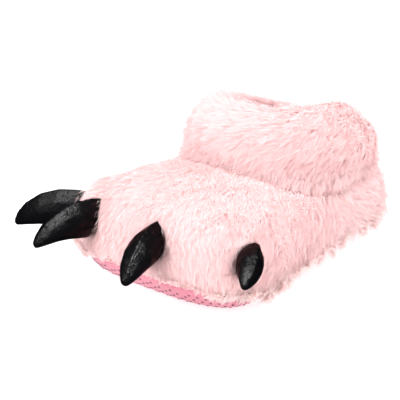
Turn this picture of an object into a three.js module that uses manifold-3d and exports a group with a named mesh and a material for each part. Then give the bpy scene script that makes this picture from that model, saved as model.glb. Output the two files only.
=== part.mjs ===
// A plush claw slipper: a padded fur foot with a slack ankle cuff, four stuffed claws,
// a soft fabric sole with a curled rim and a loose footbed. Millimetres, +Z up.
// +X points to the toe and +Y to the side that faces left. The origin lies on the
// floor plane, under the flat of the heel.
import * as THREE from "three";
import { mergeVertices } from "three/addons/utils/BufferGeometryUtils.js";
import Module from "manifold-3d";

const wasm = await Module();
wasm.setup();

// Driving dimensions of the foot.
const footLength = 290; // heel to toe over the closed nap of the fur
const ballWidth = 180; // widest place, over the closed nap
const instepHeight = 90; // top of the foot in front of the cuff
const heelBack = 70; // from the origin to the back of the heel
const toeRound = 60; // length over which the toe end closes in plan
const heelRound = 58; // length over which the heel end closes in plan
const plush = 10; // wall: lining, wadding, backing and the closed nap
const furrow = 6; // depth of the hollows between the toes
const furrowRun = 60; // length over which they come in, half of it behind the toe's round
const furrowWidth = 0.13; // their half width, as a share of half the ball's width
const clearance = 0.3; // gap between neighbouring pieces

// Driving dimensions of the sole and the footbed.
const soleThickness = 15; // padded fabric sole with its curled rim
const soleInset = 8; // rim of the sole inside the fur's widest outline
const soleCurl = 12; // how far the underside draws in below the rim
const toeSpring = 12; // lift of the sole at the tip of the toe
const springStart = 0.72; // share of the length where the lift begins
const archLift = 2.5; // hollow under the arch
const archStart = 0.36; // share of the length where the arch begins
const archRun = 0.2; // share of the length that it spans
const footbedThickness = 4;

// Driving dimensions of the ankle cuff.
const cuffHeight = 122; // floor to the rim, at the middle of the cuff
const cuffLength = 190; // outside, along the foot
const cuffWidth = 140; // outside, across the foot
const cuffBack = -78; // rear of the cuff
const rimRise = 0.24; // rise of the slack rim towards the toe
const rimTilt = 0.08; // rise of the slack rim towards +Y
const rimWave = 4; // height of the slack rim's slow waves
const seamRear = 60; // lowest edge of the cuff at the heel
const seamSlope = 0.06; // rise of that edge towards the toe
const cuffPowerLong = 2.5; // squareness of the cuff's outline, along the foot
const cuffPowerWide = 2.3; // and across it
const slackFrom = 0.45; // share of cuffHeight where the rim's slack begins
const slackRun = 0.5; // share of cuffHeight over which it comes in

// Driving dimensions of a claw.
const clawLength = 56; // fur to tip
const clawHeight = 36; // at the root
const clawWidth = 26; // at the root
const clawRoot = 6; // depth of the root in the plush
const seamSharpness = 1.6; // how sharply a claw's two panels meet at their seams

// Driving dimensions of the fur's locks.
const lockLength = 36;
const lockWidth = 21;
const lockProud = 5; // height of a lock's tip over the closed nap
const lockRoot = 4; // depth of a lock's root under the closed nap
const lockPitch = 28; // spacing of the locks
const hemPitch = 17; // spacing of the locks along the hem
const hemDrop = 7; // how far the lowest locks hang over the sole's rim
const hemRoot = 14; // height of their roots over the rim
const hemSize = 0.9; // their size, as a share of the other locks'
const hemBare = 0.75; // share of the drop that is missing at the toe
const cuffMargin = 7; // bare strip between the foot's locks and the cuff
const soleMargin = 6; // bare strip between them and the sole's rim
const seamMargin = 4; // bare strip between the cuff's locks and its lower edge
const napTurn = 60; // length over which the nap turns round at the heel
const napSpread = 0.7; // how far it spreads to both sides
const napFall = 1.1; // how steeply it falls down the sides
const cuffSlant = 0.5; // how far the cuff's nap slants, in turns of its height
const cuffFall = 0.85; // how far it falls in the same measure

// The foot's sections from heel to toe. wide is a share of half the ball's width,
// high of the instep's height, belly of that section's own height; crown is the
// squareness of the section over its belly.
const footSections = [
  { at: 0.0, wide: 0.86, high: 0.84, belly: 0.42, crown: 2.8 },
  { at: 0.18, wide: 0.88, high: 0.88, belly: 0.42, crown: 2.6 },
  { at: 0.38, wide: 0.9, high: 0.93, belly: 0.42, crown: 2.3 },
  { at: 0.56, wide: 0.96, high: 0.98, belly: 0.43, crown: 2.2 },
  { at: 0.7, wide: 1.0, high: 1.0, belly: 0.44, crown: 2.3 },
  { at: 0.84, wide: 1.02, high: 0.98, belly: 0.45, crown: 2.6 },
  { at: 1.0, wide: 1.0, high: 0.92, belly: 0.47, crown: 2.9 },
];

// The hollows between the toes, as shares of half the width.
const furrows = [{ across: -0.56 }, { across: -0.02 }, { across: 0.5 }];

// The cuff from inside the foot up to the rolled rim. up is a share of cuffHeight,
// swell of half its width.
const cuffRows = [
  { up: 0.3, swell: 0.94 },
  { up: 0.46, swell: 1.04 },
  { up: 0.6, swell: 1.06 },
  { up: 0.74, swell: 1.02 },
  { up: 0.86, swell: 0.91 },
  { up: 0.95, swell: 0.77 },
  { up: 1.0, swell: 0.62 },
];

// The hollow inside the cuff, from the foot's hollow upwards, in the same shares.
const throatRows = [
  { up: 0.24, swell: 0.74 },
  { up: 0.5, swell: 0.8 },
  { up: 0.66, swell: 0.84 },
  { up: 0.8, swell: 0.76 },
  { up: 0.9, swell: 0.54 },
  { up: 0.97, swell: 0.45 },
  { up: 1.2, swell: 0.56 },
];

// One claw from its hidden root to its tip: the upper and lower seam as shares of
// clawLength outwards and clawHeight upwards, wide as a share of clawWidth.
const clawRows = [
  { topOut: -0.55, topUp: 0.4, lowOut: -0.25, lowUp: -0.5, wide: 0.6 },
  { topOut: -0.28, topUp: 0.5, lowOut: 0.04, lowUp: -0.5, wide: 0.8 },
  { topOut: 0.0, topUp: 0.56, lowOut: 0.22, lowUp: -0.46, wide: 0.95 },
  { topOut: 0.28, topUp: 0.54, lowOut: 0.42, lowUp: -0.43, wide: 1.02 },
  { topOut: 0.55, topUp: 0.4, lowOut: 0.6, lowUp: -0.43, wide: 0.94 },
  { topOut: 0.78, topUp: 0.13, lowOut: 0.77, lowUp: -0.46, wide: 0.74 },
  { topOut: 0.92, topUp: -0.16, lowOut: 0.88, lowUp: -0.49, wide: 0.46 },
  { topOut: 0.98, topUp: -0.36, lowOut: 0.94, lowUp: -0.5, wide: 0.24 },
];

// Where each claw leaves the toe, in degrees from the centre line seen from the
// toe's middle, and how high, as a share of instepHeight. turn is the way it points,
// droop how far it sinks below level, lean how far its upper seam tips towards +Y,
// all in degrees; size is a share of the driving dimensions of a claw.
const claws = [
  { name: "claw_right_outer", around: -69, up: 0.515, turn: -56, droop: -1, lean: 14, size: 1.06 },
  { name: "claw_right_inner", around: -43, up: 0.6, turn: -6, droop: -7, lean: 12, size: 0.96 },
  { name: "claw_left_inner", around: 21, up: 0.622, turn: 22, droop: -6, lean: 8, size: 0.96 },
  { name: "claw_left_outer", around: 76, up: 0.514, turn: 42, droop: -14, lean: 28, size: 0.82 },
];

// One lock along its length: wide is a share of lockWidth; top and low are shares of
// lockProud above the nap or of lockRoot below it.
const lockRows = [
  { along: 0, wide: 0.5, top: -0.2, low: -0.9 },
  { along: 0.55, wide: 1.0, top: 0.85, low: -0.7 },
  { along: 1, wide: 0, top: 0.45, low: 0.45 },
];

const radians = (degrees) => (degrees * Math.PI) / 180;
const halfWidth = ballWidth / 2;
const heelX = -heelBack;
const toeX = footLength - heelBack;
const toeCentre = toeX - toeRound;
const heelCentre = heelX + heelRound;
const cuffMiddle = cuffBack + cuffLength / 2;
const soleSteps = 30; // stations along the sole
const footMesh = { along: 30, round: 32 }; // stations and turns of the foot's surface
const hollowMesh = { along: 18, round: 22 }; // and of the hollow inside it
const cuffRound = 32; // turns of the cuff's surface
const throatRound = 24; // and of the hollow inside it
const clawRound = 14; // turns of a claw's surface
const stationCrowding = 0.82; // how closely stations crowd towards the ends, up to 1
const coreHeight = 0.44 * instepHeight; // height of the line that the foot's surface is measured from
const planPower = 2.8; // squareness of the foot's outline seen from above
const sidePower = 3.2; // squareness of its ends seen from the side
const rimPhase = radians(210); // puts the rim's crests at the far front and the near rear
const flankPower = 3.4; // squareness of its sections below the belly

const clamp = (v, low, high) => Math.min(high, Math.max(low, v));
const signedPower = (v, p) => Math.sign(v) * Math.abs(v) ** p;
const smooth = (v) => {
  const t = clamp(v, 0, 1);
  return t * t * (3 - 2 * t);
};

// Irregular numbers between 0 and 1, the same on every run.
function scatter(i) {
  const v = Math.sin(i * 12.9898) * 43758.5453;
  return v - Math.floor(v);
}

// A column of a table at any place, along a smooth curve through its rows.
function column(table, key, name, at) {
  const last = table.length - 1;
  let i = 0;
  while (i < last - 1 && table[i + 1][key] < at) i++;
  const slope = (j) => {
    const a = table[Math.max(0, j - 1)];
    const b = table[Math.min(last, j + 1)];
    return (b[name] - a[name]) / (b[key] - a[key]);
  };
  const span = table[i + 1][key] - table[i][key];
  const t = clamp((at - table[i][key]) / span, 0, 1);
  const [p, q] = [table[i][name], table[i + 1][name]];
  const [mp, mq] = [slope(i) * span, slope(i + 1) * span];
  const ease = (3 - 2 * t) * t * t;
  return (1 - ease) * p + t * (t - 1) ** 2 * mp + ease * q + t * t * (t - 1) * mq;
}

const share = (x) => clamp((x - heelX) / footLength, 0, 1);
const footColumn = (name, x) => column(footSections, "at", name, share(x));

// How far the foot is open at x: 1 along its middle, 0 at the tips of heel and toe.
function fullness(x, grow, power) {
  const toe = (x - toeCentre) / (toeRound + grow);
  const heel = (heelCentre - x) / (heelRound + grow);
  const past = clamp(Math.max(toe, heel), 0, 1);
  return (1 - past ** power) ** (1 / power);
}

// Lift of the sole over the floor: the toe spring and the hollow under the arch.
function soleLift(x) {
  const spring = Math.max(0, ((x - heelX) / footLength - springStart) / (1 - springStart));
  const arch = clamp((share(x) - archStart) / archRun, 0, 1);
  return toeSpring * spring ** 2 + archLift * Math.sin(Math.PI * arch) ** 2;
}

// The foot's section at x, moved outwards by grow.
function footSection(x, grow) {
  const high = footColumn("high", x) * instepHeight;
  const belly = footColumn("belly", x) * high;
  const tall = fullness(x, grow, sidePower);
  return {
    middle: belly + soleLift(x) / 2,
    wide: (footColumn("wide", x) * halfWidth + grow) * fullness(x, grow, planPower),
    above: (high - belly + grow) * tall,
    below: (belly + grow) * tall,
    crown: footColumn("crown", x),
  };
}

// Share of the section's height that the hollows between the toes take away.
function furrowAt(x, across, up) {
  const reach = smooth((x - toeCentre + furrowRun / 2) / furrowRun) * clamp(up + 0.7, 0, 1);
  const dips = furrows.map((f) => Math.exp(-(((across - f.across) / furrowWidth) ** 2)));
  return (furrow / instepHeight) * 2 * reach * Math.max(...dips);
}

// A point of the foot's surface. turn runs round the section from +Y over the top.
function footPoint(x, turn, grow) {
  const section = footSection(x, grow);
  const s = Math.sin(turn);
  const power = s > 0 ? section.crown : flankPower;
  const across = signedPower(Math.cos(turn), 2 / power);
  const up = signedPower(s, 2 / power);
  const reach = (s > 0 ? section.above : section.below) * (1 - furrowAt(x, across, up));
  return new THREE.Vector3(x, section.wide * across, section.middle + reach * up);
}

// Whether a place lies inside the foot's surface.
function insideFoot({ x, y, z }, grow) {
  if (x <= heelX - grow || x >= toeX + grow) return false;
  const section = footSection(x, grow);
  const over = z - section.middle;
  const power = over > 0 ? section.crown : flankPower;
  const across = y / section.wide;
  const up = over / (over > 0 ? section.above : section.below);
  const dip = furrowAt(x, clamp(across, -1, 1), clamp(up, -1, 1));
  return Math.abs(across) ** power + Math.abs(up / (1 - dip)) ** power < 1;
}

// The foot's core line, where rays to its surface start.
const coreOf = (p) => new THREE.Vector3(clamp(p.x, heelCentre, toeCentre), 0, coreHeight);

// The place on the foot's surface along the ray from the core through a point.
function settle(point) {
  const core = coreOf(point);
  const way = point.clone().sub(core).normalize();
  let near = 0;
  let far = footLength;
  for (let i = 0; i < 22; i++) {
    const middle = (near + far) / 2;
    if (insideFoot(core.clone().addScaledVector(way, middle), 0)) near = middle;
    else far = middle;
  }
  return core.addScaledVector(way, near);
}

// The outward direction of the foot's surface at a place on it.
function footNormal(p) {
  const step = 3;
  const out = p.clone().sub(coreOf(p)).normalize();
  const aid = Math.abs(out.y) < 0.8 ? new THREE.Vector3(0, 1, 0) : new THREE.Vector3(0, 0, 1);
  const one = out.clone().cross(aid).normalize();
  const two = out.clone().cross(one);
  const along = settle(p.clone().addScaledVector(one, step)).sub(p);
  const over = settle(p.clone().addScaledVector(two, step)).sub(p);
  return along.cross(over).normalize();
}

// Stations along the foot, closer together towards both rounded ends.
function stations(count, grow) {
  const crowding = stationCrowding / (2 * Math.PI);
  return Array.from({ length: count + 1 }, (_, i) => {
    const t = i / count - crowding * Math.sin((2 * Math.PI * i) / count);
    return heelX - grow + (footLength + 2 * grow) * t;
  });
}

// A closed geometry through rings of points, with a fan over both end rings.
function loft(rings) {
  const n = rings[0].length;
  const points = rings.flat();
  const faces = [];
  for (let r = 0; r + 1 < rings.length; r++) {
    for (let j = 0; j < n; j++) {
      const a = r * n + j;
      const b = r * n + ((j + 1) % n);
      faces.push(a, b, b + n, a, b + n, a + n);
    }
  }
  for (const start of [0, (rings.length - 1) * n]) {
    const centre = new THREE.Vector3();
    for (let j = 0; j < n; j++) centre.addScaledVector(points[start + j], 1 / n);
    points.push(centre);
    for (let j = 0; j < n; j++) {
      const pair = [start + j, start + ((j + 1) % n)];
      if (start === 0) pair.reverse();
      faces.push(...pair, points.length - 1);
    }
  }
  return new THREE.BufferGeometry().setFromPoints(points).setIndex(faces);
}

// A geometry as a solid that can be joined and cut, turned right side out.
function solid(geometry) {
  const bare = geometry.clone();
  bare.deleteAttribute("normal");
  bare.deleteAttribute("uv");
  const merged = mergeVertices(bare, 1e-4);
  const index = merged.index.array;
  const kept = [];
  for (let i = 0; i < index.length; i += 3) {
    const [a, b, c] = index.slice(i, i + 3);
    if (a !== b && b !== c && c !== a) kept.push(a, b, c);
  }
  const build = (faces) => {
    const mesh = new wasm.Mesh({
      numProp: 3,
      vertProperties: merged.attributes.position.array,
      triVerts: new Uint32Array(faces),
    });
    return new wasm.Manifold(mesh);
  };
  const made = build(kept);
  return made.volume() > 0 ? made : build(kept.reverse());
}

// The largest body of a solid, without slivers that a cut left loose.
function mainBody(made) {
  return made.decompose().reduce((best, b) => (b.volume() > best.volume() ? b : best));
}

// Points at even turns round a section.
const turns = (count, point) =>
  Array.from({ length: count }, (_, j) => point((2 * Math.PI * j) / count));

function footForm(grow, { along, round }) {
  const rings = stations(along, grow).map((x) => turns(round, (turn) => footPoint(x, turn, grow)));
  return solid(loft(rings));
}

// A point of the cuff at an angle from +X; swell is a share of half its width.
function cuffPoint(angle, up, swell) {
  const reach = cuffLength / 2 - ((1 - swell) * cuffWidth) / 2;
  const x = reach * signedPower(Math.cos(angle), 2 / cuffPowerLong);
  const y = ((swell * cuffWidth) / 2) * signedPower(Math.sin(angle), 2 / cuffPowerWide);
  const slack = smooth((up - slackFrom) / slackRun);
  const rise = rimRise * x + rimTilt * y + rimWave * Math.sin(2 * angle + rimPhase);
  return new THREE.Vector3(cuffMiddle + x, y, up * cuffHeight + slack * rise);
}

function cuffBody(rows, round) {
  return solid(loft(rows.map(({ up, swell }) => turns(round, (a) => cuffPoint(a, up, swell)))));
}

// A place on the cuff's outer face and its outward direction.
function cuffFace(angle, up) {
  const at = (a, u) => cuffPoint(a, u, column(cuffRows, "up", "swell", u));
  const place = at(angle, up);
  const along = at(angle + 0.03, up).sub(place);
  const over = at(angle, up - 0.02).sub(place);
  return { place, normal: over.cross(along).normalize() };
}

// Height of the cuff's lowest edge; above it the cuff stands on the foot.
const seamAt = (x) => seamRear + seamSlope * (x - cuffBack);

// The space above a plane through that edge.
function aboveSeam(shift) {
  const size = 2 * footLength;
  const box = new THREE.BoxGeometry(size, size, size);
  box.translate(0, 0, size / 2);
  box.rotateY(-Math.atan(seamSlope));
  box.translate(0, 0, seamAt(0) + shift);
  return solid(box);
}

// An outline of the sole seen from above, at a height over its underside.
function soleRing(inset, height, along) {
  const xs = stations(along, -inset);
  const side = (x, way) => {
    const wide = (footColumn("wide", x) * halfWidth - inset) * fullness(x, -inset, planPower);
    return new THREE.Vector3(x, way * wide, height + soleLift(x));
  };
  const left = xs.map((x) => side(x, 1));
  const right = xs.slice(1, -1).map((x) => side(x, -1));
  return [...left, ...right.reverse()];
}

// A slab through outlines of the sole, covered by strips across it.
function soleSlab(rings) {
  const n = rings[0].length;
  const faces = [];
  for (let r = 0; r + 1 < rings.length; r++) {
    for (let j = 0; j < n; j++) {
      const a = r * n + j;
      const b = r * n + ((j + 1) % n);
      faces.push(a, b + n, b, a, a + n, b + n);
    }
  }
  for (const start of [0, (rings.length - 1) * n]) {
    for (let i = 0; i < n / 2; i++) {
      const [l, m] = [start + i, start + i + 1];
      const [r, s] = [start + ((n - i) % n), start + n - i - 1];
      const strip = [l, r, m, m, r, s];
      if (start === 0) strip.reverse();
      faces.push(...strip);
    }
  }
  return solid(new THREE.BufferGeometry().setFromPoints(rings.flat()).setIndex(faces));
}

// The padded sole: flat below, its edge rounded up to the rim.
function soleForm(grow) {
  const steps = 4;
  const rings = Array.from({ length: steps + 1 }, (_, i) => {
    const a = (Math.PI / 2) * (i / steps);
    const inset = soleInset + soleCurl * (1 - Math.sin(a)) - grow;
    return soleRing(inset, soleCurl * (1 - Math.cos(a)) - grow, soleSteps);
  });
  return soleSlab([...rings, soleRing(soleInset - grow, soleThickness + grow, soleSteps)]);
}

// The space between two heights over the sole's underside, wider than the foot.
function layer(low, high) {
  const reach = footLength;
  const xs = [heelX - reach, ...stations(soleSteps, -soleInset), toeX + plush];
  const rings = xs.map((x) => {
    const lift = soleLift(x);
    const corner = (way, height) => new THREE.Vector3(x, way * reach, height + lift);
    return [corner(-1, low), corner(1, low), corner(1, high), corner(-1, high)];
  });
  return solid(loft(rings));
}

// One lock of fur: a flat tapered tuft along a path of places and outward
// directions, rooted under the nap, its tip standing proud.
function lockForm(path, size) {
  const rings = lockRows.map((row, i) => {
    const { place, normal } = path[i];
    const before = path[Math.max(0, i - 1)].place;
    const after = path[Math.min(path.length - 1, i + 1)].place;
    const side = after.clone().sub(before).cross(normal).normalize();
    const half = (row.wide * lockWidth * size) / 2;
    const level = (v) => (v > 0 ? v * lockProud * size : v * lockRoot);
    const at = (across, up) => place.clone().addScaledVector(side, across).addScaledVector(normal, up);
    return [at(half, level(row.low)), at(0, level(row.top)), at(-half, level(row.low))];
  });
  return solid(loft(rings));
}

// The lie of the nap at a place on the foot: from the cuff to the toe, falling to
// both sides, and backwards round the heel.
function napAt({ place, normal }) {
  const forward = clamp((place.x - heelCentre) / napTurn, -1, 1);
  const fall = -napFall * clamp(1.2 - place.z / instepHeight, 0, 1);
  const flow = new THREE.Vector3(forward, (napSpread * place.y) / halfWidth, fall);
  return flow.addScaledVector(normal, -flow.dot(normal)).normalize();
}

// Whether a place on the foot lies under the cuff or within a margin of its lower edge.
function underCuff(p, margin) {
  const x = (p.x - cuffMiddle) / (cuffLength / 2 + margin);
  const y = p.y / (cuffWidth / 2 + margin);
  return Math.abs(x) ** cuffPowerLong + Math.abs(y) ** cuffPowerWide < 1 && p.z > seamAt(p.x) - margin;
}

// The locks of the foot, in staggered rows over its surface.
function footLocks() {
  const made = [];
  const rows = Math.round(footLength / lockPitch);
  for (let i = 0; i < rows; i++) {
    const x = heelX + soleMargin + ((footLength - 2 * soleMargin) * i) / (rows - 1);
    const girth = Math.PI * halfWidth * fullness(x, 0, planPower);
    const around = Math.max(5, Math.round(girth / lockPitch));
    for (let j = 0; j < around; j++) {
      const seed = 40 * i + j;
      const turn = radians(-20 + (220 * (j + 0.5 * (i % 2) + 0.4 * scatter(seed))) / around);
      const place = settle(footPoint(x, turn, 0));
      const start = { place, normal: footNormal(place) };
      const size = 0.85 + 0.3 * scatter(seed + 13);
      const flow = napAt(start);
      const path = lockRows.map(({ along }) => {
        const next = settle(place.clone().addScaledVector(flow, along * lockLength * size));
        return { place: next, normal: footNormal(next) };
      });
      const lowest = soleThickness + soleLift(x) + soleMargin;
      const clash = path.some((step) => underCuff(step.place, cuffMargin) || step.place.z < lowest);
      if (!clash) made.push(lockForm(path, size));
    }
  }
  return made;
}

// The locks of the hem, hanging from the foot's lower edge over the sole's rim.
// They hang lower along the sides than at the toe.
function hemLocks() {
  const rim = soleRing(0, soleThickness, 60);
  const made = [];
  let walked = 0;
  for (let i = 0; i < rim.length; i++) {
    const here = rim[i];
    const next = rim[(i + 1) % rim.length];
    walked += here.distanceTo(next);
    if (walked < hemPitch) continue;
    walked -= hemPitch;
    const bare = smooth((here.x - toeCentre + 10) / 40);
    const drop = hemDrop * (1 - hemBare * bare) * (0.7 + 0.5 * scatter(i));
    const length = hemRoot + drop;
    const start = settle(new THREE.Vector3(here.x, here.y, here.z + hemRoot));
    const normal = footNormal(start).setZ(0).normalize();
    const drift = next.clone().sub(here).normalize().multiplyScalar(0.25 * (scatter(i + 5) - 0.5));
    const flow = new THREE.Vector3(drift.x, drift.y, -1);
    const path = lockRows.map(({ along }) => {
      const place = start.clone().addScaledVector(flow, along * length);
      return { place, normal };
    });
    made.push(lockForm(path, hemSize));
  }
  return made;
}

// The locks of the cuff, combed down and aslant from the rim to the seam.
function cuffLocks() {
  const made = [];
  const rows = [0.97, 0.86, 0.74, 0.64];
  rows.forEach((up, i) => {
    const around = Math.round((Math.PI * (cuffLength + cuffWidth)) / 2 / lockPitch);
    for (let j = 0; j < around; j++) {
      const seed = 900 + 50 * i + j;
      const angle = (2 * Math.PI * (j + 0.5 * (i % 2) + 0.4 * scatter(seed))) / around;
      const size = 0.8 + 0.3 * scatter(seed + 13);
      const path = lockRows.map(({ along }) => {
        const fall = (along * lockLength * size) / cuffHeight;
        return cuffFace(angle - cuffSlant * fall, up - cuffFall * fall);
      });
      const low = ({ place }) => place.z < seamAt(place.x) + seamMargin;
      const clash = path.some((step) => low(step) || insideFoot(step.place, cuffMargin));
      if (!clash) made.push(lockForm(path, size));
    }
  });
  return made;
}

// A claw: two panels sewn along the upper and the lower edge and stuffed, its root
// following the foot's surface at a fixed depth.
function clawForm(row, grow) {
  const rings = clawRows.map((r) => {
    const top = new THREE.Vector2(r.topOut * clawLength, r.topUp * clawHeight).multiplyScalar(row.size);
    const low = new THREE.Vector2(r.lowOut * clawLength, r.lowUp * clawHeight).multiplyScalar(row.size);
    const up = top.clone().sub(low).normalize();
    const half = (r.wide * clawWidth * row.size) / 2 + grow;
    return turns(clawRound, (a) => {
      const seam = low.clone().lerp(top, (1 - Math.cos(a)) / 2).addScaledVector(up, -grow * Math.cos(a));
      return new THREE.Vector3(seam.x, half * signedPower(Math.sin(a), seamSharpness), seam.y);
    });
  });
  const way = new THREE.Vector3(Math.cos(radians(row.around)), Math.sin(radians(row.around)), 0);
  const start = new THREE.Vector3(toeCentre, 0, row.up * instepHeight);
  const base = settle(start.addScaledVector(way, toeRound));
  const geometry = loft(rings);
  geometry.rotateX(-radians(row.lean));
  geometry.rotateY(radians(row.droop));
  geometry.rotateZ(radians(row.turn));
  geometry.translate(base.x, base.y, base.z);
  return mainBody(solid(geometry).subtract(footForm(-clawRoot - grow, footMesh)));
}

const hollow = footForm(-plush, hollowMesh);
const throat = cuffBody(throatRows, throatRound);

let upper = footForm(0, footMesh).subtract(layer(-4 * plush, soleThickness + clearance));
for (const lock of [...footLocks(), ...hemLocks()]) upper = upper.add(lock);
upper = upper.subtract(soleForm(clearance)).subtract(hollow).subtract(throat);
for (const row of claws) upper = upper.subtract(clawForm(row, clearance));

let cuff = cuffBody(cuffRows, cuffRound).subtract(footForm(clearance, footMesh)).intersect(aboveSeam(0));
for (const lock of cuffLocks()) cuff = cuff.add(lock);
cuff = cuff.subtract(throat);

const bed = layer(soleThickness + clearance, soleThickness + clearance + footbedThickness);
const footbed = footForm(-plush - clearance, hollowMesh).intersect(bed);

const group = new THREE.Group();

function addPiece(name, made, look) {
  const mesh = made.getMesh();
  const geometry = new THREE.BufferGeometry();
  geometry.setAttribute("position", new THREE.BufferAttribute(mesh.vertProperties, 3));
  geometry.setIndex(new THREE.BufferAttribute(mesh.triVerts, 1));
  const piece = new THREE.Mesh(geometry, new THREE.MeshStandardMaterial(look));
  piece.name = name;
  group.add(piece);
}

const furLook = { color: 0xfbdedd, roughness: 0.95, metalness: 0 };
const soleLook = { color: 0xf0a0b3, roughness: 0.85, metalness: 0 };
const liningLook = { color: 0xf6cdd0, roughness: 0.9, metalness: 0 };
const clawLook = { color: 0x19191b, roughness: 0.35, metalness: 0 };

addPiece("outsole", soleForm(0), soleLook);
addPiece("footbed", footbed, liningLook);
addPiece("upper", mainBody(upper), furLook);
addPiece("cuff", mainBody(cuff), furLook);
for (const row of claws) addPiece(row.name, clawForm(row, 0), clawLook);

export default group;
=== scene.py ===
# %% [markdown]
# A plush claw slipper, dressed for a photograph
#
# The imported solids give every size. This lesson puts real finishes on them: long
# pile fur over padded cloth, four stuffed claws, a soft sole with grip dots and a
# fleece footbed. It starts from the frame, so nothing has to be fitted by eye.

# %% The frame
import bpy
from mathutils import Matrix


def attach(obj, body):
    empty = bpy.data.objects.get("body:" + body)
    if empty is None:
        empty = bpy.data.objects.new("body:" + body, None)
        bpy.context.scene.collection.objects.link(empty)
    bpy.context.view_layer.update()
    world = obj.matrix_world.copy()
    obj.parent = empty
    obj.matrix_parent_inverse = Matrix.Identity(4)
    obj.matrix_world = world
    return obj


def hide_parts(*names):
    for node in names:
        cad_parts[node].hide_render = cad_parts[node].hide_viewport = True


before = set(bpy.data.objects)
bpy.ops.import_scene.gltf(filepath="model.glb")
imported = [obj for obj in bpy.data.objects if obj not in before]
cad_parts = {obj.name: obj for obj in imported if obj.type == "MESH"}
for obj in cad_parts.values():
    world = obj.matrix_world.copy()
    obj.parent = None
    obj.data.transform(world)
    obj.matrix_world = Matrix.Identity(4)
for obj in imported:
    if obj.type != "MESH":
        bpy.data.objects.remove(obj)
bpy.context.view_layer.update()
print("solids", sorted(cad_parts))

# %% [markdown]
# Small tools come next. Sizes are written in millimetres, as a maker would write
# them, and turned to metres when a mesh is made. Colours are written as the hex
# values of a colour chart, and one function turns them to linear light.

# %% Tools for sizes, colours and nodes
import math
import bmesh
import bpy
import numpy as np
from mathutils import Matrix, Vector, noise
from mathutils.bvhtree import BVHTree
from mathutils.kdtree import KDTree

MM = 0.001


def linear(hex_colour):
    parts = [int(hex_colour[i : i + 2], 16) / 255 for i in (1, 3, 5)]
    return (*[((c + 0.055) / 1.055) ** 2.4 if c > 0.04045 else c / 12.92 for c in parts], 1)


def add_node(material, kind, settings=None, links=None):
    tree = material.node_tree
    node = tree.nodes.new(kind)
    for name, value in (settings or {}).items():
        if name in node.inputs:
            node.inputs[name].default_value = value
        else:
            setattr(node, name, value)
    for name, source in (links or {}).items():
        tree.links.new(source, node.inputs[name])
    return node


def new_material(name, **finish):
    material = bpy.data.materials.new(name)
    material.use_nodes = True
    shader = material.node_tree.nodes["Principled BSDF"]
    for socket, value in finish.items():
        shader.inputs[socket.replace("_", " ")].default_value = value
    return material, shader


def unit(v):
    return v / np.maximum(np.linalg.norm(v, axis=-1, keepdims=True), 1e-9)


def smooth_step(v):
    t = np.clip(v, 0, 1)
    return t * t * (3 - 2 * t)


print("middle grey in linear light", [round(c, 3) for c in linear("#808080")])

# %% [markdown]
# The camera stands where the photographer stood: to the left of the toe, a metre
# away, looking down at 22 degrees. A long lens keeps the foot's proportions.

# %% Camera
target = np.array([105.6, -23.0, 48.4])
around, above, away = math.radians(40), math.radians(22), 1000
level = math.cos(above)
way = np.array([level * math.cos(around), level * math.sin(around), math.sin(above)])
camera = bpy.data.objects.new("camera", bpy.data.cameras.new("camera"))
bpy.context.scene.collection.objects.link(camera)
camera.location = Vector((target + away * way) * MM)
camera.rotation_mode = "QUATERNION"
camera.rotation_quaternion = Vector(-way).to_track_quat("-Z", "Y")
camera.data.sensor_width = 36
camera.data.lens = 102.6
camera.data.dof.use_dof = False
bpy.context.scene.camera = camera
print("camera at", [round(v, 3) for v in camera.location])

# %% [markdown]
# Pale fur needs light from everywhere, or its shade turns grey. A white room gives
# most of it, and three broad softboxes model the form. Two small ones are seen only
# as streaks on the shiny claws. The room and the floor are kept out of mirror
# reflections, so that the claws stay black. The floor is so pale that only a breath
# of shade stays on it.

# %% Light and floor
FLOOR_HALF, FLOOR_DROP = 3.0, 0.4  # metres to its edge, and millimetres under the sole
scene = bpy.context.scene
scene.view_settings.view_transform = "Standard"
scene.world = bpy.data.worlds.new("white room")
scene.world.use_nodes = True
room = scene.world.node_tree.nodes["Background"]
room.inputs["Color"].default_value = (1, 0.99, 0.985, 1)
room.inputs["Strength"].default_value = 1.5
scene.world.cycles_visibility.glossy = False


def softbox(name, place, size, watts, mirrored=True, spread=True):
    """A square lamp. Mirrored ones show on shiny cloth, spread ones light matt cloth."""
    lamp = bpy.data.objects.new(name, bpy.data.lights.new(name, "AREA"))
    lamp.data.size = size
    lamp.data.energy = watts
    lamp.visible_glossy = mirrored
    lamp.visible_diffuse = lamp.visible_transmission = spread
    lamp.location = place
    lamp.rotation_mode = "QUATERNION"
    lamp.rotation_quaternion = (Vector(place) - Vector(target * MM)).to_track_quat("Z", "Y")
    scene.collection.objects.link(lamp)


softbox("top softbox", (0.25, 0.1, 1.3), 1.0, 5, mirrored=False)
softbox("side softbox", (1.0, -0.07, 0.8), 0.6, 8, mirrored=False)
softbox("rear softbox", (-0.5, 0.6, 1.0), 0.6, 5, mirrored=False)
softbox("top streak", (0.45, 0.2, 1.22), 0.36, 34, spread=False)
softbox("side streak", (1.0, -0.07, 0.8), 0.26, 17, spread=False)

floor_mesh = bpy.data.meshes.new("floor")
floor = bpy.data.objects.new("floor", floor_mesh)
bm = bmesh.new()
bmesh.ops.create_grid(bm, x_segments=1, y_segments=1, size=FLOOR_HALF)
bmesh.ops.translate(bm, vec=(0, 0, -FLOOR_DROP * MM), verts=bm.verts)
bm.to_mesh(floor_mesh)
bm.free()
scene.collection.objects.link(floor)
# Matt paper that glows a little takes the slipper's shadow as the faintest shade only.
paper, shader = new_material("matt white studio paper", Base_Color=linear("#c4c4c4"), Roughness=0.9)
shader.inputs["Emission Color"].default_value = (1, 1, 1, 1)
shader.inputs["Emission Strength"].default_value = 0.7
floor_mesh.materials.append(paper)
floor.visible_glossy = False
print("lamps", [lamp.name for lamp in bpy.data.lights])

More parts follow.
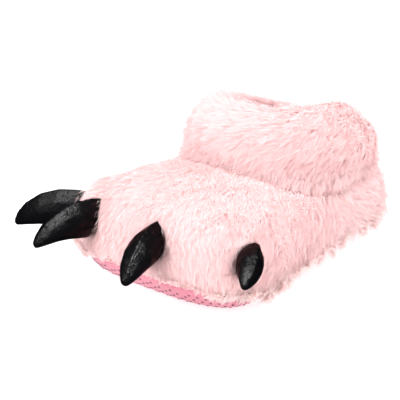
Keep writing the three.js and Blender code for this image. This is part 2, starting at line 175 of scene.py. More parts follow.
# %% [markdown]
# Fur fabric is a knitted backing with pile. Under it sits wadding, so the cloth is
# smooth and full. A copy of each solid is merged, closed again on a fine grid and
# smoothed, which turns its facets and locks into soft swellings.

# %% Cloth skins from the solids


def skin_from(name, node, voxel, rounds):
    """A smooth cloth over one solid, on a grid of voxel millimetres."""
    bm = bmesh.new()
    bm.from_mesh(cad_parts[node].data)
    bmesh.ops.remove_doubles(bm, verts=bm.verts, dist=0.01 * MM)
    mesh = bpy.data.meshes.new(name)
    bm.to_mesh(mesh)
    bm.free()
    piece = bpy.data.objects.new(name, mesh)
    scene.collection.objects.link(piece)
    remesh = piece.modifiers.new("even cloth", "REMESH")
    remesh.mode = "VOXEL"
    remesh.voxel_size = voxel * MM
    bpy.context.view_layer.update()
    depsgraph = bpy.context.evaluated_depsgraph_get()
    even = bpy.data.meshes.new_from_object(piece.evaluated_get(depsgraph))
    piece.modifiers.clear()
    piece.data = even
    even.name = name
    bm = bmesh.new()
    bm.from_mesh(even)
    for _ in range(rounds):
        bmesh.ops.smooth_vert(bm, verts=bm.verts, factor=0.5,
                              use_axis_x=True, use_axis_y=True, use_axis_z=True)
    bm.to_mesh(even)
    bm.free()
    even.shade_smooth()
    print(name, len(even.polygons), "faces")
    return piece


def points_of(piece):
    co = np.empty(len(piece.data.vertices) * 3)
    piece.data.vertices.foreach_get("co", co)
    return co.reshape(-1, 3) / MM


def normals_of(piece):
    n = np.empty(len(piece.data.vertices) * 3)
    piece.data.vertices.foreach_get("normal", n)
    return n.reshape(-1, 3)


def move_points(piece, points):
    piece.data.vertices.foreach_set("co", (points * MM).ravel())
    piece.data.update()


foot_skin = skin_from("foot_fur_backing", "upper", 2.8, 10)
cuff_skin = skin_from("cuff_fur_backing", "cuff", 2.8, 12)

# %% [markdown]
# Hair grows only where the cloth is open to the air. Rays sent out from each point
# tell which points those are: inside the shoe nearly every ray meets the far wall.

# %% Which cloth lies in the open
RAYS, RAY_LIFT, RAY_FAN, RAY_REACH = 9, 2.5, 0.75, 400
FOOT_CORE, FOOT_CORE_HIGH = (-12, 160), 40  # the line inside the foot that it wraps round
CUFF_CORE, CUFF_RIM = (-15, 55), 100  # the cuff's middle line, and where its rim begins
EDGE_ROUNDS, AIR_ROUNDS, ISLAND_ROUNDS = 4, 8, 40
MOSTLY_OUTER = 0.72  # past this share all round, a point lies outside too


def tree_of(pieces):
    verts, faces = [], []
    for piece in pieces:
        start = len(verts)
        verts.extend(v.co / MM for v in piece.data.vertices)
        faces.extend([i + start for i in p.vertices] for p in piece.data.polygons)
    return BVHTree.FromPolygons(verts, faces)


rng = np.random.default_rng(7)
all_solids = tree_of([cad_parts[name] for name in ("upper", "cuff", "outsole", "footbed")])
fan = unit(rng.normal(size=(RAYS, 3)))


def openness(points, normals):
    free = np.zeros(len(points))
    for i, (p, n) in enumerate(zip(points, normals)):
        start = Vector(p + RAY_LIFT * n)
        for s in fan:
            aim = n + RAY_FAN * s
            if all_solids.ray_cast(start, Vector(aim), RAY_REACH)[0] is None:
                free[i] += 1
    return free / RAYS


def spread_out(piece, values, rounds):
    """Each point's value shared with its neighbours, so that a zone's edge is soft."""
    mesh = piece.data
    ends = np.empty(len(mesh.edges) * 2, int)
    mesh.edges.foreach_get("vertices", ends)
    a, b = ends.reshape(-1, 2).T
    shares = np.bincount(a, minlength=len(values)) + np.bincount(b, minlength=len(values))
    for _ in range(rounds):
        total = np.bincount(a, values[b], len(values)) + np.bincount(b, values[a], len(values))
        values = 0.4 * values + 0.6 * total / np.maximum(shares, 1)
    return values


def core_of(points, skin):
    core = points.copy()
    if skin is foot_skin:
        core[:, 0], core[:, 1], core[:, 2] = np.clip(points[:, 0], *FOOT_CORE), 0, FOOT_CORE_HIGH
    else:
        core[:, 0], core[:, 1] = np.clip(points[:, 0], *CUFF_CORE), 0
    return core


open_air, outer = {}, {}
for skin in (foot_skin, cuff_skin):
    points, normals = points_of(skin), normals_of(skin)
    facing = (unit(points - core_of(points, skin)) * normals).sum(1)
    rim = points[:, 2] > CUFF_RIM if skin is cuff_skin else np.zeros(len(points), bool)
    shown = ((facing > 0) | (rim & (normals[:, 2] > 0.3))).astype(float)
    all_round = smooth_step((spread_out(skin, shown, ISLAND_ROUNDS) - MOSTLY_OUTER) / 0.1)
    outer[skin.name] = np.maximum(spread_out(skin, shown, EDGE_ROUNDS), all_round)
    open_air[skin.name] = spread_out(skin, openness(points, normals), AIR_ROUNDS)
    print(skin.name, "open to the air", round(float((open_air[skin.name] > 0.1).mean()), 2))

# %% [markdown]
# The wadding sinks under the pile by the pile's own depth, so that the hair ends
# where the solid's surface was. The main creases are listed here: each is a
# soft trough between two places on the shoe.

# %% Pile depth and creases
PILE = 3.2  # millimetres from the backing to the closed nap
PRESSED = 0.25  # share of it that is left where foot and cuff press together
PRESS_RUN, JOIN_RUN = 10, 6  # gaps over which the pile and the wadding come back
RIM_FULL = 0.5  # share of the depth that the stuffed rim doesn't sink
RIM_LOW, RIM_RUN = 112, 12
creases = [
    # the path over the shoe, with its half width and depth in millimetres
    {"name": "toe hollow", "wide": 9, "deep": 2.5,
     "path": [(125, 30, 88), (151, 41, 85), (177, 52, 81), (202, 61, 75)]},
    {"name": "ankle fold", "wide": 9, "deep": 3,
     "path": [(82, 60, 79), (61, 70, 70), (29, 72, 66), (-4, 72, 64)]},
    {"name": "front dent", "wide": 12, "deep": 3, "path": [(104, -40, 102), (113, -12, 97)]},
    {"name": "cuff dip", "wide": 10, "deep": 2, "path": [(56, 58, 122), (68, 62, 110)]},
    {"name": "claw pull", "wide": 8, "deep": 3, "path": [(183, 78, 71), (161, 87, 63)]},
    {"name": "cuff fold", "wide": 7, "deep": 2,
     "path": [(88, 55, 94), (76, 62, 95), (64, 68, 90), (46, 71, 83), (24, 73, 74)]},
    {"name": "side dent", "wide": 10, "deep": 1.5, "path": [(125, 79, 67), (121, 87, 51)]},
]


def crease_depth(points):
    depth = np.zeros(len(points))
    for crease in creases:
        path = np.array(crease["path"], float)
        for a, b in zip(path[:-1], path[1:]):
            t = np.clip(((points - a) @ (b - a)) / ((b - a) @ (b - a)), 0, 1)
            gap = np.linalg.norm(points - (a + t[:, None] * (b - a)), axis=1)
            depth = np.maximum(depth, crease["deep"] * np.exp(-((gap / crease["wide"]) ** 2)))
    return depth


other = {foot_skin.name: tree_of([cuff_skin]), cuff_skin.name: tree_of([foot_skin])}
pile_depth = {}
for skin in (foot_skin, cuff_skin):
    points, normals = points_of(skin), normals_of(skin)
    gap = np.array([other[skin.name].find_nearest(Vector(p))[3] for p in points])
    pile_depth[skin.name] = PILE * (PRESSED + (1 - PRESSED) * smooth_step(gap / PRESS_RUN))
    out = smooth_step(outer[skin.name])
    rim = smooth_step((points[:, 2] - RIM_LOW) / RIM_RUN) if skin is cuff_skin else 0
    sunk = pile_depth[skin.name] * (1 - RIM_FULL * rim) * smooth_step(gap / JOIN_RUN)
    sunk += crease_depth(points)
    move_points(skin, points - normals * (out * sunk)[:, None])
    print(skin.name, "sunk by up to", round(float((out * sunk).max()), 1), "mm")

# %% [markdown]
# Pile lies the way the cloth was cut. On this foot it runs towards the toe and down
# to the sole, turns back round the heel, and slants down round the cuff.

# %% Lie of the pile
SIDE_TOP, SIDE_RUN = 78, 40  # below this height the cloth counts as the foot's side
PART_LOW, PART_HIGH, PART_RUN = 75, -20, 60  # where pile parts to run forwards or back
FOOT_HIGH, FOOT_HALF = 90, 90
HEEL_FRONT = 60
CUFF_MIDDLE, CUFF_OVAL = 21, 1.3  # the cuff's middle along the foot, and length by width
SEAM_FROM, SEAM_RUN = 22, 14  # within this of the foot the cuff's pile turns down


def foot_lie(points):
    x, y, z = points.T
    low = smooth_step((SIDE_TOP - z) / SIDE_RUN)
    forward = np.clip((x - PART_LOW * low - PART_HIGH * (1 - low)) / PART_RUN, -1, 1)
    steep = np.clip(1.2 - z / FOOT_HIGH, 0, 1)
    fall = -1.1 * steep * (1 - 0.55 * low * smooth_step((HEEL_FRONT - x) / PART_RUN))
    return np.stack([forward, 0.8 * y / FOOT_HALF, fall], 1)


def cuff_lie(points):
    x, y = points[:, 0] - CUFF_MIDDLE, points[:, 1]
    r = np.hypot(x / CUFF_OVAL, y) + 1
    gap = np.array([other[cuff_skin.name].find_nearest(Vector(p))[3] for p in points])
    near_seam = smooth_step((SEAM_FROM - gap) / SEAM_RUN)
    round_it = 1.1 - 0.6 * near_seam
    fall = -0.42 - 0.7 * near_seam
    return np.stack([round_it * y / r, -round_it * (x / CUFF_OVAL) / r, fall], 1)


noise.seed_set(1)  # left alone, it starts from the clock and each run's locks differ


def wander(points, size, seed):
    """A soft random direction at each point, alike within size millimetres."""
    out = np.empty((len(points), 3))
    for i, p in enumerate(points):
        out[i] = noise.noise_vector(Vector(p) / size + Vector((seed, 0, 0)))
    return out


print("pile on top of the toe lies along", foot_lie(np.array([[200.0, 0, 80]])).round(2)[0])

# %% [markdown]
# Each claw is two panels of a dark, faintly crackled coated cloth, sewn along their
# upper and lower edges, turned and stuffed. The solid has that form; a finer skin
# gives it the seam's thin ridge and the puckers that the thread pulls in beside it.

# %% Stuffed claws
RIDGE_HIGH, RIDGE_HALF = 0.6, 0.9  # the sewn edge, turned inside out
PUCKER_HIGH, PUCKER_HALF, STITCH = 0.14, 2.4, 5.5  # what the thread pulls in beside it
TIP_ROUND, TIP_RUN = 4, 8  # no ridge on the blunt tip
CRACKLE, GRAIN = 0.52, 0.33  # the crackle's cells and the coat's dimples to a millimetre
FOOT_INSIDE = (100, 0, 50)  # a claw's tip is its farthest point from here
claw_turns = [
    # the way each claw points, sinks and leans, in degrees, as in the solids
    {"side": "right_outer", "turn": -56, "droop": -1, "lean": 14},
    {"side": "right_inner", "turn": -6, "droop": -7, "lean": 12},
    {"side": "left_inner", "turn": 22, "droop": -6, "lean": 8},
    {"side": "left_outer", "turn": 42, "droop": -14, "lean": 28},
]


def between_panels(row):
    """The direction from one panel of a claw to the other."""
    across = Vector((0, 1, 0))
    for axis, degrees in (("X", -row["lean"]), ("Y", row["droop"]), ("Z", row["turn"])):
        across.rotate(Matrix.Rotation(math.radians(degrees), 3, axis))
    return np.array(across)


def coated_cloth():
    # A black coat with a soft shine; the crackle breaks its streaks into small glints.
    material, shader = new_material("crackled black coated cloth", Base_Color=linear("#08080a"),
                                    Roughness=0.28, IOR=1.27)
    place = add_node(material, "ShaderNodeTexCoord").outputs["Object"]
    crackle = add_node(material, "ShaderNodeTexVoronoi",
                       {"Scale": CRACKLE / MM, "feature": "DISTANCE_TO_EDGE"}, {"Vector": place})
    grain = add_node(material, "ShaderNodeTexNoise",
                     {"Scale": GRAIN / MM, "Detail": 4.0, "Roughness": 0.65}, {"Vector": place})
    soft = add_node(material, "ShaderNodeBump", {"Strength": 0.7, "Distance": 0.9 * MM},
                    {"Height": grain.outputs["Fac"]})
    fine = add_node(material, "ShaderNodeBump", {"Strength": 0.7, "Distance": 0.7 * MM},
                    {"Height": crackle.outputs["Distance"], "Normal": soft.outputs["Normal"]})
    material.node_tree.links.new(fine.outputs["Normal"], shader.inputs["Normal"])
    return material


coated = coated_cloth()
claw_pieces = []
for row in claw_turns:
    side = row["side"]
    claw = skin_from(side + "_claw", "claw_" + side, 1.1, 3)
    points, normals = points_of(claw), normals_of(claw)
    tip = points[np.linalg.norm(points - FOOT_INSIDE, axis=1).argmax()]
    gap = np.abs((points - tip) @ between_panels(row))
    back = np.linalg.norm(points - tip, axis=1)
    past_tip = smooth_step((back - TIP_ROUND) / TIP_RUN)
    pull = PUCKER_HIGH * np.sin(2 * math.pi * back / STITCH)
    pucker = past_tip * pull * np.exp(-((gap / PUCKER_HALF) ** 2))
    ridge = RIDGE_HIGH * past_tip * np.exp(-((gap / RIDGE_HALF) ** 2))
    move_points(claw, points + normals * (pucker + ridge)[:, None])
    claw.data.materials.append(coated)
    claw_pieces.append(claw)
    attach(claw, "root")
    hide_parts("claw_" + side)

# %% [markdown]
# The sole is a padded bag of brushed pink cloth, turned up at its edge. The fleece
# footbed lies loose inside. Both finishes are matt, with a nap of two close tones.

# %% Sole and footbed


def napped_cloth(name, colour, shade, tufts, depth):
    """A matt cloth with tufts to a millimetre and a nap of depth millimetres."""
    material, shader = new_material(name, Base_Color=linear(colour), Roughness=0.9, Sheen_Weight=0.2)
    place = add_node(material, "ShaderNodeTexCoord").outputs["Object"]
    nap = add_node(material, "ShaderNodeTexNoise", {"Scale": tufts / MM, "Detail": 3.0}, {"Vector": place})
    tone = add_node(material, "ShaderNodeMix", {"data_type": "RGBA"}, {"Factor": nap.outputs["Fac"]})
    tone.inputs[6].default_value = linear(shade)
    tone.inputs[7].default_value = linear(colour)
    bump = add_node(material, "ShaderNodeBump", {"Strength": 0.6, "Distance": depth * MM},
                    {"Height": nap.outputs["Fac"]})
    material.node_tree.links.new(tone.outputs[2], shader.inputs["Base Color"])
    material.node_tree.links.new(bump.outputs["Normal"], shader.inputs["Normal"])
    return material


# Brushed cloth looks dusty and even; fleece is paler, with a coarser, softer nap.
sole = skin_from("padded_sole", "outsole", 2.6, 2)
sole.data.materials.append(napped_cloth("brushed pink sole cloth", "#ca7f8f", "#be6c7e", 0.7, 0.5))
fleece = napped_cloth("pink fleece lining", "#ffe0e3", "#f8d0d6", 0.4, 1.0)
footbed = skin_from("fleece_footbed", "footbed", 2.8, 1)
footbed.data.materials.append(fleece)
for piece, node, fill in ((sole, "outsole", 0.7), (footbed, "footbed", 0.6)):
    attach(piece, "root")
    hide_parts(node)

# %% [markdown]
# Stuffing pushes the sole's rim up and out at the toe, where the fur leaves it bare.
# A soft share, 1 at the toe and 0 along the sides, moves only those points, so that
# the rim runs back into the solid's form with no step.

# %% The sole's rim at the toe
FOOT_LONG, HEEL_BACK, LIFT = 290, 70, 12
LIFT_FROM = 0.72  # share of the length where the sole leaves the floor
BARE_FROM, BARE_RUN = 172, 22  # along the foot
BARE_NEAR, NEAR_RUN, BARE_FAR, FAR_RUN = 88, 30, -62, 16  # across it
RIM_FOOT, RIM_RISE, RIM_OUT, RIM_UP = 3, 9, 6.0, 5.0
TOE_ROUND_FROM, HEEL_ROUND_FROM, TOE_ROUND, HEEL_ROUND = 160, -12, 60, 58


def toe_lift(x):
    run = (1 - LIFT_FROM) * FOOT_LONG
    return LIFT * np.clip((x + HEEL_BACK - LIFT_FROM * FOOT_LONG) / run, 0, 1) ** 2


def bare_toe(x, y):
    """How bare the sole's rim is: 1 at the toe, 0 along the sides and the heel."""
    across_foot = smooth_step((BARE_NEAR - y) / NEAR_RUN) * smooth_step((y - BARE_FAR) / FAR_RUN)
    return smooth_step((x - BARE_FROM) / BARE_RUN) * across_foot


points = points_of(sole)
x, y, z = points.T
curl = bare_toe(x, y) * smooth_step((z - toe_lift(x) - RIM_FOOT) / RIM_RISE)
outward = unit(np.stack([x - TOE_ROUND_FROM, 0.4 * y, np.zeros(len(x))], 1))
move_points(sole, points + curl[:, None] * (RIM_OUT * outward + (0, 0, RIM_UP)))
print("rim drawn up at", int((curl > 0.5).sum()), "points")

# %% [markdown]
# Raised dots keep the sole from slipping. They are printed on the flat cloth in
# staggered rows, so they are laid out flat here too and then rolled up round the
# sole's edge. One low dome is shaped, and arrays repeat it.

# %% Grip dots
DOT_PITCH, DOT_WIDE, DOT_HIGH, DOT_SUNK, DOT_REACH = 7.0, 2.6, 0.7, 0.1, 14
DOT_FLAT, FLOOR_NEAR, SIDE_HIGH = 0.55, 0.6, 30  # dots on the floor are pressed flat
CURL, EDGE = 12.0, 20.0  # the roll of the sole's edge, and where it starts from the outline
EDGE_STEPS, OVAL = 400, 2.8
lengthwise = np.array([0, 0.18, 0.38, 0.56, 0.7, 0.84, 1.0])
half_widths = FOOT_HALF * np.array([0.86, 0.88, 0.9, 0.96, 1.0, 1.02, 1.0])


def flat_edge():
    t = np.linspace(0, math.pi, EDGE_STEPS)
    middle = FOOT_LONG / 2 - HEEL_BACK
    x = middle - (FOOT_LONG / 2 - EDGE) * np.cos(t)
    past = np.maximum((x - TOE_ROUND_FROM) / (TOE_ROUND - EDGE),
                      (HEEL_ROUND_FROM - x) / (HEEL_ROUND - EDGE))
    half = np.interp((x + HEEL_BACK) / FOOT_LONG, lengthwise, half_widths) - EDGE
    half = half * (1 - np.clip(past, 0, 1) ** OVAL) ** (1 / OVAL)
    return np.concatenate([np.stack([x, half], 1), np.stack([x[::-1], -half[::-1]], 1)])


def dot_places():
    edge = flat_edge()
    step = DOT_PITCH * math.sin(math.radians(60))
    grid = [(x + (DOT_PITCH / 2) * (row % 2), row * step)
            for row in range(-16, 17) for x in np.arange(-84, 240, DOT_PITCH)]
    found = []
    for u, v in grid:
        near = np.hypot(edge[:, 0] - u, edge[:, 1] - v)
        k = int(near.argmin())
        on_line = np.interp(u, edge[:EDGE_STEPS, 0], edge[:EDGE_STEPS, 1])
        inside = abs(v) < on_line and EDGE - HEEL_BACK < u < FOOT_LONG - HEEL_BACK - EDGE
        gap = 0 if inside else near[k]
        if gap > CURL * math.pi / 2 + 3:
            continue
        turn = min(gap / CURL, math.pi / 2)
        away = unit(np.array([u, v]) - edge[k]) if gap else np.zeros(2)
        base = np.array([u, v]) if inside else edge[k] + away * CURL * math.sin(turn)
        high = toe_lift(base[0]) + CURL * (1 - math.cos(turn)) + max(0, gap - CURL * math.pi / 2)
        found.append((*base, high))
    return np.array(found)


def dome():
    bm = bmesh.new()
    bmesh.ops.create_uvsphere(bm, u_segments=7, v_segments=4, radius=0.5)
    bmesh.ops.bisect_plane(bm, geom=bm.verts[:] + bm.edges[:] + bm.faces[:], plane_co=(0, 0, 0),
                           plane_no=(0, 0, -1), clear_outer=True)
    bmesh.ops.triangulate(bm, faces=bm.faces)
    bm.verts.index_update()
    points = np.array([v.co for v in bm.verts]) * (DOT_WIDE, DOT_WIDE, 2 * DOT_HIGH)
    faces = np.array([[v.index for v in f.verts] for f in bm.faces])
    bm.free()
    return points, faces


def mesh_from_arrays(name, points, faces):
    mesh = bpy.data.meshes.new(name)
    sides = faces.shape[1]
    mesh.vertices.add(len(points))
    mesh.vertices.foreach_set("co", (points * MM).ravel())
    mesh.loops.add(faces.size)
    mesh.loops.foreach_set("vertex_index", faces.astype(np.int32).ravel())
    mesh.polygons.add(len(faces))
    mesh.polygons.foreach_set("loop_start", (sides * np.arange(len(faces))).astype(np.int32))
    mesh.update(calc_edges=True)
    piece = bpy.data.objects.new(name, mesh)
    scene.collection.objects.link(piece)
    return piece


sole_tree = tree_of([sole])
shape, shape_faces = dome()
dots = []
for place in dot_places():
    spot, out = sole_tree.find_nearest(Vector(place), DOT_REACH)[:2]
    if spot is None or spot.z > SIDE_HIGH:
        continue
    spot = spot - out * (DOT_FLAT if spot.z < FLOOR_NEAR else DOT_SUNK)
    turn = np.array(out.to_track_quat("Z", "Y").to_matrix())
    dots.append(shape @ turn.T + np.array(spot))
first = len(shape) * np.arange(len(dots))[:, None, None]
grip = mesh_from_arrays("grip_dots", np.concatenate(dots), (shape_faces[None] + first).reshape(-1, 3))
# Dull dark rubber sets each dot off as a small point on the pink cloth.
rubber, shader = new_material("printed rubber dots", Base_Color=linear("#7c4055"), Roughness=0.55)
grip.data.materials.append(rubber)
grip.data.shade_smooth()
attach(grip, "root")
print("grip dots", len(dots))

# %% [markdown]
# Hair is combed over whatever it meets. A point that falls inside a claw, the sole
# or the floor is moved out to its surface, so pile parts round the claws.

# %% Combing over the hard parts
FLOOR_GAP, SKIN_GAP, BARE_HIGH = 0.3, 0.4, 20
REACH_HARD, REACH_FOOT = 16, 30
solid_tree = tree_of([*claw_pieces, sole])


def hem_height(points, hang):
    """The lowest place for a hair: the floor at the sides, the sole's rim at the toe."""
    x, y = points[:, 0], points[:, 1]
    bare = bare_toe(x, y)
    return np.where(bare > 0, FLOOR_GAP + bare * (BARE_HIGH + toe_lift(x) - hang), FLOOR_GAP)


def comb_clear(points, hang, over):
    """Points moved out of the claws, the sole, the floor and the cloth they hang over."""
    for i, p in enumerate(points):
        if over is not None:
            spot, out = over.find_nearest(Vector(p), REACH_FOOT)[:2]
            if spot is not None and (Vector(p) - spot).dot(out) < PILE:
                points[i] = np.array(spot + out * PILE)
        spot, out = solid_tree.find_nearest(Vector(p), REACH_HARD)[:2]
        if spot is not None and (Vector(p) - spot).dot(out) < SKIN_GAP:
            points[i] = np.array(spot + out * SKIN_GAP)
    points[:, 2] = np.maximum(points[:, 2], hem_height(points, hang))
    return points


def inside_hard(points):
    hit = np.zeros(len(points), bool)
    for i, p in enumerate(points):
        spot, out = solid_tree.find_nearest(Vector(p), REACH_HARD)[:2]
        hit[i] = spot is not None and (Vector(p) - spot).dot(out) < 0
    return hit


print("hair is combed over", [piece.name for piece in [*claw_pieces, sole]])

# %% [markdown]
# A hair is a thin ribbon that narrows to a point: one quad and one triangle. Pile
# holds together in locks, so the ribbons lean towards the tip of the lock that they
# grow in. They are made as arrays, because there are so many of them. Light shades
# fur as it shades the cloth below, so each ribbon carries the cloth's own normal.

# %% Growing the hair
ROOT_DEEP, ROOT_WIDE = 0.8, 0.8  # how far a root goes in, and its width as a share
BEND_ALONG, BEND_UP = 0.38, 0.8  # where a hair bends over, as shares of its reach and rise
WANDER = 24  # pile turns together over this many millimetres
EVEN_ROUNDS = 6
STEEP_DOWN, STEEP_RUN, UP_LEAST = -0.65, 0.35, 0.1


def roots_on(skin, wanted, count, pick):
    mesh = skin.data
    mesh.calc_loop_triangles()
    tri = np.empty(len(mesh.loop_triangles) * 3, int)
    mesh.loop_triangles.foreach_get("vertices", tri)
    tri = tri.reshape(-1, 3)
    points = points_of(skin)
    normals = unit(np.stack([spread_out(skin, n, EVEN_ROUNDS) for n in normals_of(skin).T], 1))
    corner = points[tri]
    area = np.linalg.norm(np.cross(corner[:, 1] - corner[:, 0], corner[:, 2] - corner[:, 0]), axis=1) / 2
    weight = area * wanted[tri].min(1)
    chosen = pick.choice(len(tri), count, p=weight / weight.sum())
    u, v = pick.random((2, count))
    flip = u + v > 1
    u[flip], v[flip] = 1 - u[flip], 1 - v[flip]
    w = np.stack([1 - u - v, u, v], 1)[:, :, None]
    place = (points[tri[chosen]] * w).sum(1)
    out = unit((normals[tri[chosen]] * w).sum(1))
    depth = (pile_depth[skin.name][tri[chosen]] * w[:, :, 0]).sum(1)
    keep = ~inside_hard(place)
    return place[keep], out[keep], depth[keep], weight.sum()


def across(flow, out):
    return unit(flow - out * (flow * out).sum(1, keepdims=True))


def nearest_of(place, middles):
    near = KDTree(len(middles))
    for k, i in enumerate(middles):
        near.insert(Vector(place[i]), k)
    near.balance()
    return np.array([near.find(Vector(p))[1] for p in place])


def ribbons(name, root, middle, tip, side, half):
    verts = np.stack([root - side * half * ROOT_WIDE, root + side * half * ROOT_WIDE,
                      middle - side * half, middle + side * half, tip], 1).reshape(-1, 3)
    base = (5 * np.arange(len(root)))[:, None]
    corners = (base + [0, 1, 3, 0, 3, 2, 2, 3, 4]).reshape(-1, 3)
    return mesh_from_arrays(name, verts, corners)


def lifted(tilt, out):
    """Normals raised a little, save under an overhang, so that sides don't go dark."""
    side_on = smooth_step((out[:, 2] - STEEP_DOWN) / STEEP_RUN)
    tilt[:, 2] += side_on * np.maximum(UP_LEAST - tilt[:, 2], 0)
    return unit(tilt)


def hair_mesh(name, place, out, depth, lie, look, pick, over=None):
    count = len(place)
    middles = pick.choice(count, int(count / look["lock"]), replace=False)
    own = nearest_of(place, middles)
    swirl = look["swirl"] * wander(place[middles], WANDER, 3.0)
    swirl += look["stray"] * pick.normal(size=(len(middles), 3))
    lift = pick.uniform(0.88, 1.1, len(middles))
    lock_flow = across(lie[middles] + swirl, out[middles])
    lock_reach = look["length"] * pick.uniform(0.85, 1.2, len(middles))
    lock_rise = out[middles] * (depth[middles] * lift)[:, None]
    lock_tip = place[middles] + lock_flow * lock_reach[:, None] + lock_rise

    flow = across(lie + swirl[own] + 0.12 * pick.normal(size=(count, 3)), out)
    reach = (look["length"] * pick.uniform(look["least"], 1.1, count))[:, None]
    flying = (pick.random(count) < look["fly"]) * pick.uniform(0.6, 1.8, count)
    rise = (depth * lift[own] * pick.uniform(0.85, 1.1, count) * (1 + flying))[:, None]
    middle = place + flow * reach * BEND_ALONG + out * rise * BEND_UP
    tip = place + flow * reach + out * rise
    gather = (look["gather"] * pick.random(count))[:, None]
    hang = look["hang"] * pick.uniform(-0.3, 1, len(middles))[own]
    tip = comb_clear(tip * (1 - gather) + lock_tip[own] * gather, hang, over)
    middle = comb_clear(middle, hang, over)
    side = unit(np.cross(flow, out) + out * pick.uniform(-0.5, 0.5, count)[:, None])
    half = (look["wide"] * pick.uniform(0.7, 1.2, count) / 2)[:, None]
    piece = ribbons(name, place - ROOT_DEEP * out, middle, tip, side, half)

    tilt = out + look["tilt"] * pick.normal(size=(len(middles), 3))[own]
    tilt = lifted(tilt + 0.05 * pick.normal(size=(count, 3)), out)
    facing = piece.data.attributes.new("custom_normal", "FLOAT_VECTOR", "POINT")
    facing.data.foreach_set("vector", np.repeat(tilt, 5, axis=0).ravel())
    # along_hair runs from 0 at the root to 1 at the tip; the pile's finish reads it to paint shade at the
    # root and light at the tip.
    along = piece.data.attributes.new("along_hair", "FLOAT", "POINT")
    along.data.foreach_set("value", np.tile([0, 0, 0.6, 0.6, 1.0], count))
    tint = piece.data.attributes.new("lock_tint", "FLOAT", "POINT")
    shade = 0.7 * pick.random(len(middles))[own] + 0.3 * pick.random(count)
    tint.data.foreach_set("value", np.repeat(shade, 5))
    return piece


print("a hair has 5 points and 3 triangles")

# %% [markdown]
# Acrylic pile scatters nearly all the light that falls on it, and lets more than
# half of it through. The pink gathers between the hairs, where light has bounced most,
# and the colour also runs from a pinker root to an almost white tip: painted shade
# deep in the pile and painted light at the tips. The hem's pile is a little greyer and less pink.

# %% Fur finishes
SEEN_THROUGH = 0.58


def fur_finish(name, root, tip, mean):
    """Matt pile that runs from the root's colour to the tip's, a little apart by lock. A pinker root is
    painted shade deep in the pile, and a paler tip is painted light.
    """
    material, shader = new_material(name, Base_Color=linear(mean), Roughness=0.8, IOR=1.45)
    along = add_node(material, "ShaderNodeAttribute", {"attribute_name": "along_hair"}).outputs["Fac"]
    tint = add_node(material, "ShaderNodeAttribute", {"attribute_name": "lock_tint"}).outputs["Fac"]
    colour = add_node(material, "ShaderNodeMix", {"data_type": "RGBA"}, {"Factor": along})
    colour.inputs[6].default_value = linear(root)
    colour.inputs[7].default_value = linear(tip)
    value = add_node(material, "ShaderNodeMapRange", {"To Min": 0.975, "To Max": 1.015}, {"Value": tint})
    toned = add_node(material, "ShaderNodeHueSaturation", {},
                     {"Color": colour.outputs[2], "Value": value.outputs[0]})
    material.node_tree.links.new(toned.outputs["Color"], shader.inputs["Base Color"])
    through = add_node(material, "ShaderNodeBsdfTranslucent", {}, {"Color": toned.outputs["Color"]})
    both = add_node(material, "ShaderNodeMixShader", {"Fac": SEEN_THROUGH})
    tree = material.node_tree
    tree.links.new(shader.outputs[0], both.inputs[1])
    tree.links.new(through.outputs[0], both.inputs[2])
    tree.links.new(both.outputs[0], tree.nodes["Material Output"].inputs["Surface"])
    return material


# Roots are painted pinker and tips lighter, as painted shade deep in the pile and painted light at its
# tips; the hem's pile is greyer and less pink all along.
pile = fur_finish("pale pink acrylic pile", "#ffe6e6", "#ffecec", "#ffe9e9")
hem_pile = fur_finish("paler acrylic pile at the hem", "#f6e2e0", "#faeeec", "#f6e8e6")
# Knit shows only between the hairs, as an even pink ground.
backing = new_material("knitted fur backing", Base_Color=linear("#ffe0e0"), Roughness=0.95)[0]
for skin in (foot_skin, cuff_skin):
    skin.data.materials.append(backing)
    skin.data.materials.append(fleece)
    shut = outer[skin.name] < 0.5
    lined = [int(all(shut[i] for i in p.vertices)) for p in skin.data.polygons]
    skin.data.polygons.foreach_set("material_index", lined)
    print(skin.name, sum(lined), "faces lined with fleece")

# %% [markdown]
# The foot's hair is grown in zones, so that no mesh is too heavy. Pile is a little
# longer on the cuff and the sides, where it lies in looser locks. Longer wisps hang
# along the hem, and another row of them hangs from the cuff and hides its seam. All
# of it is kept out of mirror reflections too, so the claws don't turn pink.

# %% Hair on the foot and the cuff
DENSITY = 1.0
HEM_HIGH, HEM_BARE, ANKLE_HIGH = 27, 0.6, 110
SEAM_PRESSED, SEAM_RISE, SEAM_OUT = 0.9, 3.5, 0.45
WELL_OUT, SIDE_LOW = 0.9, 45  # cloth this far from the seam and this high is always furred
ZONE_EDGE, ALL_X, TALL = 1.5, (-200, 400), 400
looks = {
    # millimetres: length, width and hang; hairs to a lock; the rest are shares
    "short": {"length": 10.0, "wide": 0.6, "lock": 40, "swirl": 0.22, "stray": 0.06, "gather": 0.3,
              "least": 0.7, "hang": 5, "fly": 0.05, "tilt": 0.06},
    "loose": {"length": 13.0, "wide": 0.6, "lock": 50, "swirl": 0.3, "stray": 0.15, "gather": 0.5,
              "least": 0.7, "hang": 6, "fly": 0.1, "tilt": 0.12},
    "hem": {"length": 15.0, "wide": 0.7, "lock": 60, "swirl": 0.3, "stray": 0.25, "gather": 0.6,
            "least": 0.7, "hang": 8, "fly": 0.1, "tilt": 0.12},
    "seam": {"length": 16.0, "wide": 0.6, "lock": 30, "swirl": 0.5, "stray": 0.3, "gather": 0.4,
             "least": 0.2, "hang": 0, "fly": 0.1, "tilt": 0.1},
}
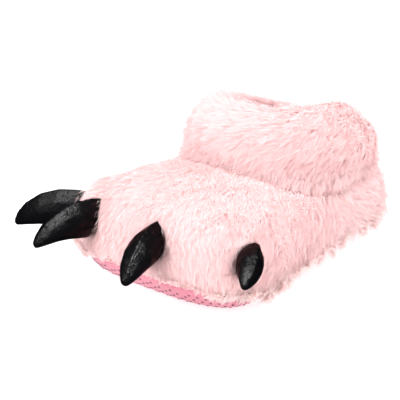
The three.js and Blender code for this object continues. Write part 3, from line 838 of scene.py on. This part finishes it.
zones = [
    # piece, cloth, the stretch of x and the height that hold its roots, hairs, look
    ("toe_pile", foot_skin, (150, 400), TALL, 52000, "short"),
    ("instep_pile", foot_skin, (90, 150), TALL, 43000, "short"),
    ("side_pile", foot_skin, (20, 90), TALL, 34000, "loose"),
    ("heel_pile", foot_skin, (-200, 20), TALL, 38000, "loose"),
    ("cuff_pile", cuff_skin, ALL_X, TALL, 58000, "loose"),
    ("hem_pile", foot_skin, ALL_X, HEM_HIGH, 20000, "hem"),
    ("ankle_pile", cuff_skin, ALL_X, ANKLE_HIGH, 15000, "seam"),
]


def furred(skin, stretch, top, style):
    """1 where a zone's hair has its roots, at each point of its cloth."""
    x, y, z = points_of(skin).T
    is_outer = outer[skin.name] > 0.5
    if style == "seam":
        return is_outer * (pile_depth[skin.name] < SEAM_PRESSED * PILE) * (z < top)
    clear = (pile_depth[skin.name] > WELL_OUT * PILE) & (z > SIDE_LOW)
    wanted = np.where(is_outer, (open_air[skin.name] > 0.02) | clear, open_air[skin.name] > 0.1)
    wanted = wanted * (x > stretch[0] - ZONE_EDGE) * (x < stretch[1] + ZONE_EDGE)
    if style == "hem":
        wanted = wanted * (bare_toe(x, y) < HEM_BARE)
    return wanted * (z - toe_lift(x) < top)


hair_pieces = []
foot_tree = tree_of([foot_skin])
for number, (name, skin, stretch, top, hairs, style) in enumerate(zones):
    pick = np.random.default_rng(100 + number)
    wanted = furred(skin, stretch, top, style)
    place, out, depth, area = roots_on(skin, wanted, int(hairs * DENSITY), pick)
    lie = cuff_lie(place) if skin is cuff_skin else foot_lie(place)
    over = None
    if style == "seam":
        depth = np.full(len(depth), SEAM_RISE)
        lie += SEAM_OUT * unit((place - (CUFF_MIDDLE, 0, 0)) * (1, 1, 0))
        over = foot_tree
    piece = hair_mesh(name, place, out, depth, lie, looks[style], pick, over)
    print(name, len(place), "hairs, one to", round(float(area / len(place)), 2), "square mm")
    piece.data.materials.append(hem_pile if style == "hem" else pile)
    piece.visible_glossy = False
    hair_pieces.append(piece)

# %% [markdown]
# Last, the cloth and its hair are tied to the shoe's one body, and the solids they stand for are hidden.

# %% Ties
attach(foot_skin, "root")
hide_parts("upper")
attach(cuff_skin, "root")
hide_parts("cuff")
for piece in hair_pieces:
    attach(piece, "root")
print("pieces tied", len([foot_skin, cuff_skin, sole, footbed, grip, *claw_pieces, *hair_pieces]))
